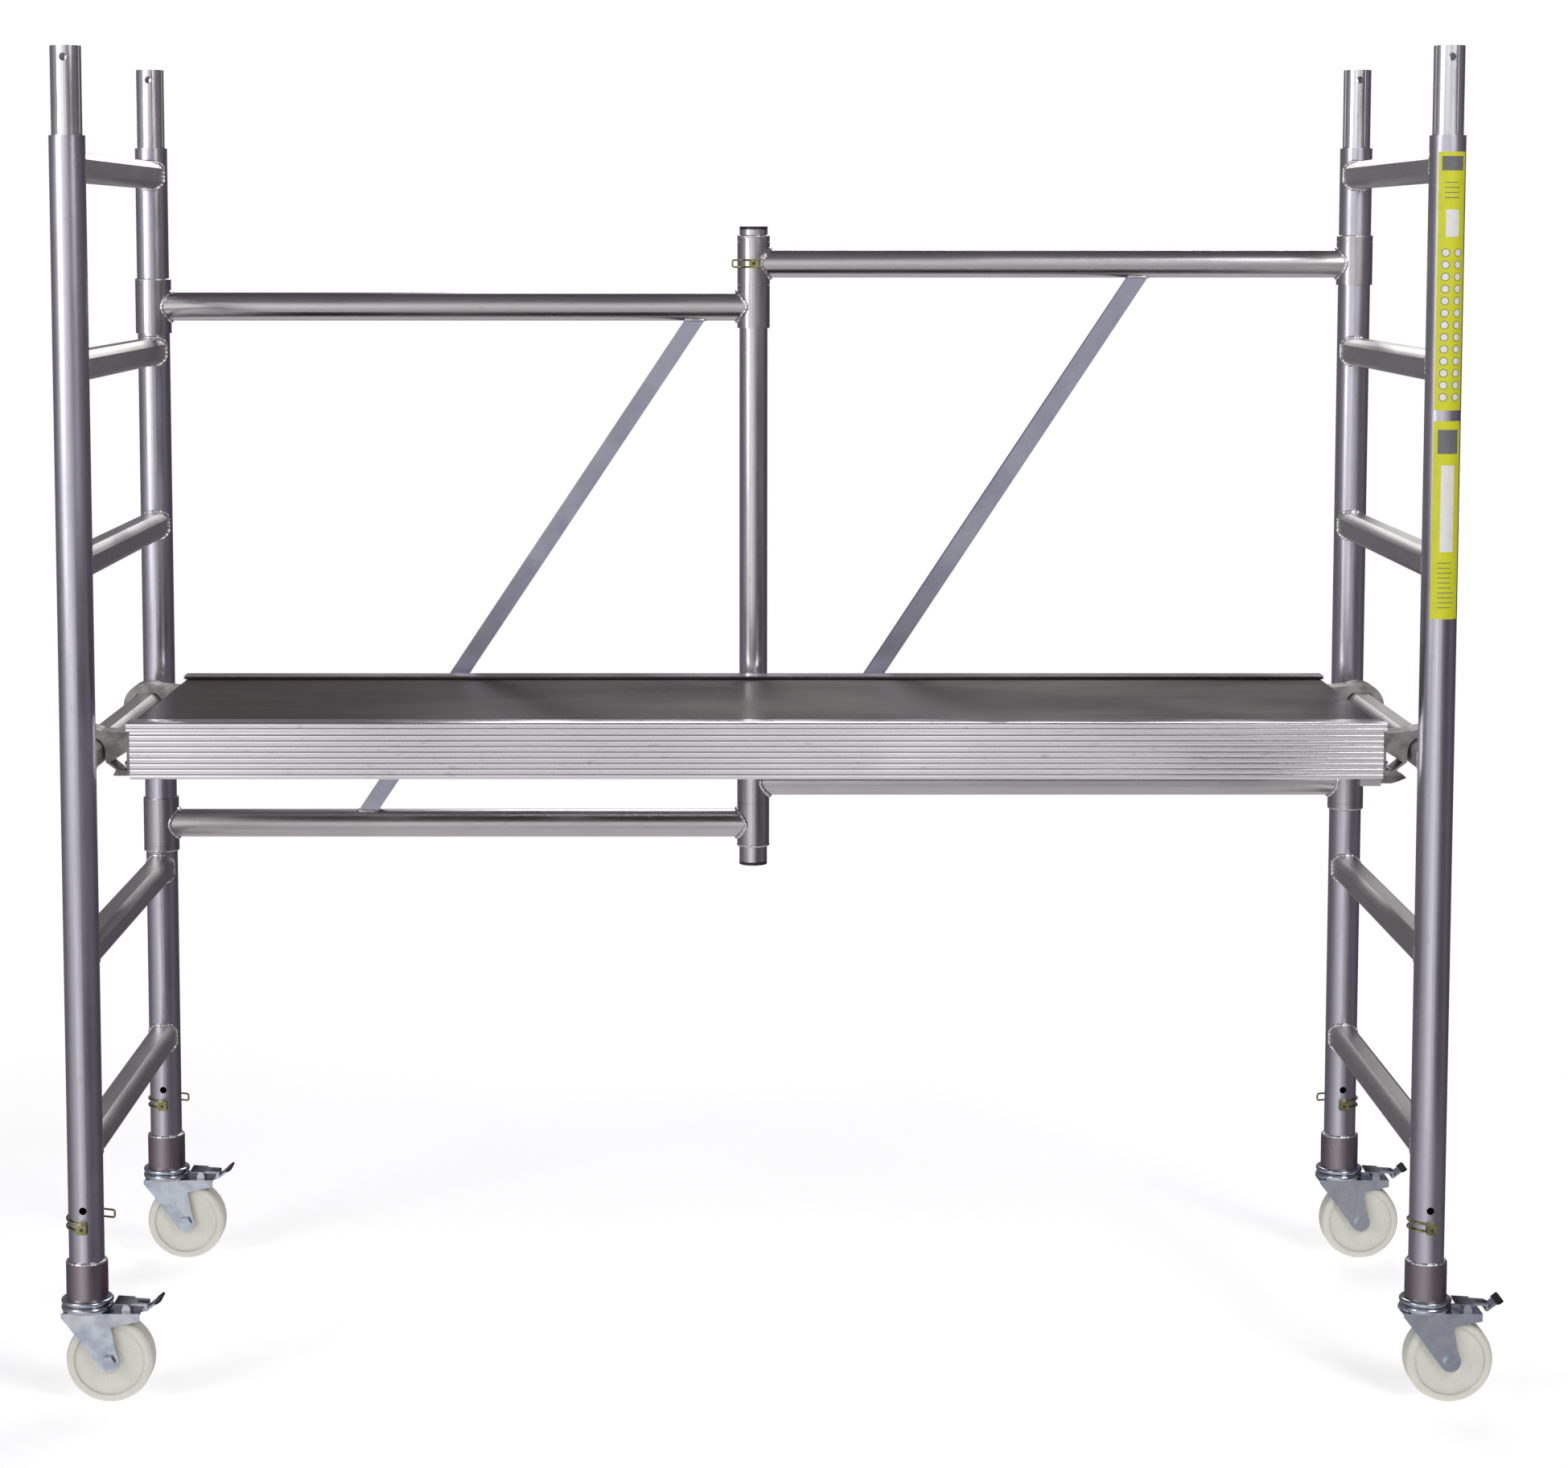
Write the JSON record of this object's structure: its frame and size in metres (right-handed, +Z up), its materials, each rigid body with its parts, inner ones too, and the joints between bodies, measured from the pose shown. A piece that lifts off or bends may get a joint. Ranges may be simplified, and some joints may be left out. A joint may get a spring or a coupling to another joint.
{
  "type": "folding rolling scaffold",
  "caption": "Folding aluminium rolling scaffold: ladder frames on braked casters, hinged rear brace and a hooked-on work platform.",
  "frame": {"origin": "middle of the whole object's outline, on the floor", "axes": "+X along the platform, the way the casters trail; +Y from the open front to the folding brace at the back; +Z up"},
  "size_m": [2.0745, 0.7768, 1.937],
  "materials": {
    "upright_tube": "satin extruded tube, lightly scuffed",
    "rung_tube": "satin, worn on top",
    "spigot_tube": "bright drawn tube",
    "fitting": "turned sleeve, shiny weld beads",
    "zinc_steel": "bright zinc plate",
    "brace_tube": "satin extruded tube",
    "diagonal_bar": "satin flat faces",
    "black_cap": "moulded",
    "yellow_zinc": "yellow passivated spring steel",
    "deck_board": "phenolic faced plywood, semi gloss",
    "rail": "bright ribbed extrusion",
    "beam": "mill finish",
    "cast_hook": "sand cast, rough",
    "rivet": "bright",
    "catch_steel": "dull zinc plate",
    "nylon": "solid nylon, slightly worn"
  },
  "bodies": {
    "left_frame": {"left_front_upright": "upright_tube", "left_rear_upright": "upright_tube", "left_rungs": "rung_tube", "left_spigots": "spigot_tube", "left_foot_sleeves": "fitting", "left_hinge_rings": "fitting", "left_caster_stems": "zinc_steel"},
    "left_brace": {"left_brace_tubes": "brace_tube", "left_brace_diagonal": "diagonal_bar", "left_end_sleeves": "fitting", "center_post": "brace_tube", "left_post_sleeves": "fitting", "post_ring": "fitting", "post_caps": "black_cap"},
    "right_brace": {"right_brace_tubes": "brace_tube", "right_brace_diagonal": "diagonal_bar", "right_end_sleeves": "fitting", "right_post_sleeves": "fitting"},
    "right_frame": {"right_front_upright": "upright_tube", "right_rear_upright": "upright_tube", "right_rungs": "rung_tube", "right_spigots": "spigot_tube", "right_foot_sleeves": "fitting", "right_hinge_rings": "fitting", "right_caster_stems": "zinc_steel"},
    "lock_clip": {"lock_pin": "yellow_zinc", "lock_wire": "yellow_zinc"},
    "platform": {"deck": "deck_board", "side_rails": "rail", "end_beams": "beam", "cross_ribs": "beam", "hooks": "cast_hook", "hook_rivets": "rivet", "catch_guide": "beam"},
    "uplift_tongue": {"uplift_catch": "catch_steel"},
    "left_front_caster": {"left_front_fork": "zinc_steel", "left_front_axle": "zinc_steel"},
    "left_front_wheel": {"left_front_wheel": "nylon"},
    "left_front_brake": {"left_front_pedal": "zinc_steel"},
    "left_front_leg_clip": {"left_front_leg_pin": "yellow_zinc", "left_front_leg_wire": "yellow_zinc"},
    "left_rear_caster": {"left_rear_fork": "zinc_steel", "left_rear_axle": "zinc_steel"},
    "left_rear_wheel": {"left_rear_wheel": "nylon"},
    "left_rear_brake": {"left_rear_pedal": "zinc_steel"},
    "left_rear_leg_clip": {"left_rear_leg_pin": "yellow_zinc", "left_rear_leg_wire": "yellow_zinc"},
    "right_front_caster": {"right_front_fork": "zinc_steel", "right_front_axle": "zinc_steel"},
    "right_front_wheel": {"right_front_wheel": "nylon"},
    "right_front_brake": {"right_front_pedal": "zinc_steel"},
    "right_front_leg_clip": {"right_front_leg_pin": "yellow_zinc", "right_front_leg_wire": "yellow_zinc"},
    "right_rear_caster": {"right_rear_fork": "zinc_steel", "right_rear_axle": "zinc_steel"},
    "right_rear_wheel": {"right_rear_wheel": "nylon"},
    "right_rear_brake": {"right_rear_pedal": "zinc_steel"},
    "right_rear_leg_clip": {"right_rear_leg_pin": "yellow_zinc", "right_rear_leg_wire": "yellow_zinc"}
  },
  "joints": [
    {"name": "fold", "type": "hinge", "parent": "left_frame", "child": "left_brace", "pos_m": [-0.99975, 0.35095, 1.1], "axis": [0, 0, 1], "range_deg": [0, 84]},
    {"name": "post_fold", "type": "hinge", "parent": "left_brace", "child": "right_brace", "pos_m": [-0.03575, 0.35095, 1.1], "axis": [0, 0, 1], "range_deg": [-168, 0]},
    {"name": "frame_fold", "type": "hinge", "parent": "right_brace", "child": "right_frame", "pos_m": [0.92825, 0.35095, 1.1], "axis": [0, 0, 1], "range_deg": [0, 84]},
    {"name": "platform_lift", "type": "slide", "parent": "left_frame", "child": "platform", "axis": [0, 0, 1], "range_m": [0, 1.5]},
    {"name": "lock_pull", "type": "slide", "parent": "right_brace", "child": "lock_clip", "axis": [0, -1, 0], "range_m": [0, 0.072]},
    {"name": "uplift_slide", "type": "slide", "parent": "platform", "child": "uplift_tongue", "axis": [1, 0, 0], "range_m": [0, 0.035]},
    {"name": "left_front_swivel", "type": "hinge", "parent": "left_frame", "child": "left_front_caster", "pos_m": [-0.99975, -0.34905, 0.138], "axis": [0, 0, 1], "continuous": true},
    {"name": "left_front_roll", "type": "hinge", "parent": "left_front_caster", "child": "left_front_wheel", "pos_m": [-0.96675, -0.34905, 0.0625], "axis": [0, 1, 0], "continuous": true},
    {"name": "left_front_brake_press", "type": "hinge", "parent": "left_front_caster", "child": "left_front_brake", "pos_m": [-0.94175, -0.34905, 0.1392], "axis": [0, 1, 0], "range_deg": [0, 10]},
    {"name": "left_front_clip_pull", "type": "slide", "parent": "left_frame", "child": "left_front_leg_clip", "axis": [0, -1, 0], "range_m": [0, 0.06], "deforming": ["left_front_leg_wire"]},
    {"name": "left_rear_swivel", "type": "hinge", "parent": "left_frame", "child": "left_rear_caster", "pos_m": [-0.99975, 0.35095, 0.138], "axis": [0, 0, 1], "continuous": true},
    {"name": "left_rear_roll", "type": "hinge", "parent": "left_rear_caster", "child": "left_rear_wheel", "pos_m": [-0.96675, 0.35095, 0.0625], "axis": [0, 1, 0], "continuous": true},
    {"name": "left_rear_brake_press", "type": "hinge", "parent": "left_rear_caster", "child": "left_rear_brake", "pos_m": [-0.94175, 0.35095, 0.1392], "axis": [0, 1, 0], "range_deg": [0, 10]},
    {"name": "left_rear_clip_pull", "type": "slide", "parent": "left_frame", "child": "left_rear_leg_clip", "axis": [0, -1, 0], "range_m": [0, 0.06], "deforming": ["left_rear_leg_wire"]},
    {"name": "right_front_swivel", "type": "hinge", "parent": "right_frame", "child": "right_front_caster", "pos_m": [0.92825, -0.34905, 0.138], "axis": [0, 0, 1], "continuous": true},
    {"name": "right_front_roll", "type": "hinge", "parent": "right_front_caster", "child": "right_front_wheel", "pos_m": [0.96125, -0.34905, 0.0625], "axis": [0, 1, 0], "continuous": true},
    {"name": "right_front_brake_press", "type": "hinge", "parent": "right_front_caster", "child": "right_front_brake", "pos_m": [0.98625, -0.34905, 0.1392], "axis": [0, 1, 0], "range_deg": [0, 10]},
    {"name": "right_front_clip_pull", "type": "slide", "parent": "right_frame", "child": "right_front_leg_clip", "axis": [0, -1, 0], "range_m": [0, 0.06], "deforming": ["right_front_leg_wire"]},
    {"name": "right_rear_swivel", "type": "hinge", "parent": "right_frame", "child": "right_rear_caster", "pos_m": [0.92825, 0.35095, 0.138], "axis": [0, 0, 1], "continuous": true},
    {"name": "right_rear_roll", "type": "hinge", "parent": "right_rear_caster", "child": "right_rear_wheel", "pos_m": [0.96125, 0.35095, 0.0625], "axis": [0, 1, 0], "continuous": true},
    {"name": "right_rear_brake_press", "type": "hinge", "parent": "right_rear_caster", "child": "right_rear_brake", "pos_m": [0.98625, 0.35095, 0.1392], "axis": [0, 1, 0], "range_deg": [0, 10]},
    {"name": "right_rear_clip_pull", "type": "slide", "parent": "right_frame", "child": "right_rear_leg_clip", "axis": [0, -1, 0], "range_m": [0, 0.06], "deforming": ["right_rear_leg_wire"]}
  ],
  "couplings": [
    {"joint": "post_fold", "follows": "fold", "ratio": -2},
    {"joint": "frame_fold", "follows": "fold", "ratio": 1},
    {"joint": "platform_lift", "follows": "fold", "m_per_rad": 1.02},
    {"joint": "lock_pull", "follows": "fold", "m_per_rad": 0.048}
  ]
}
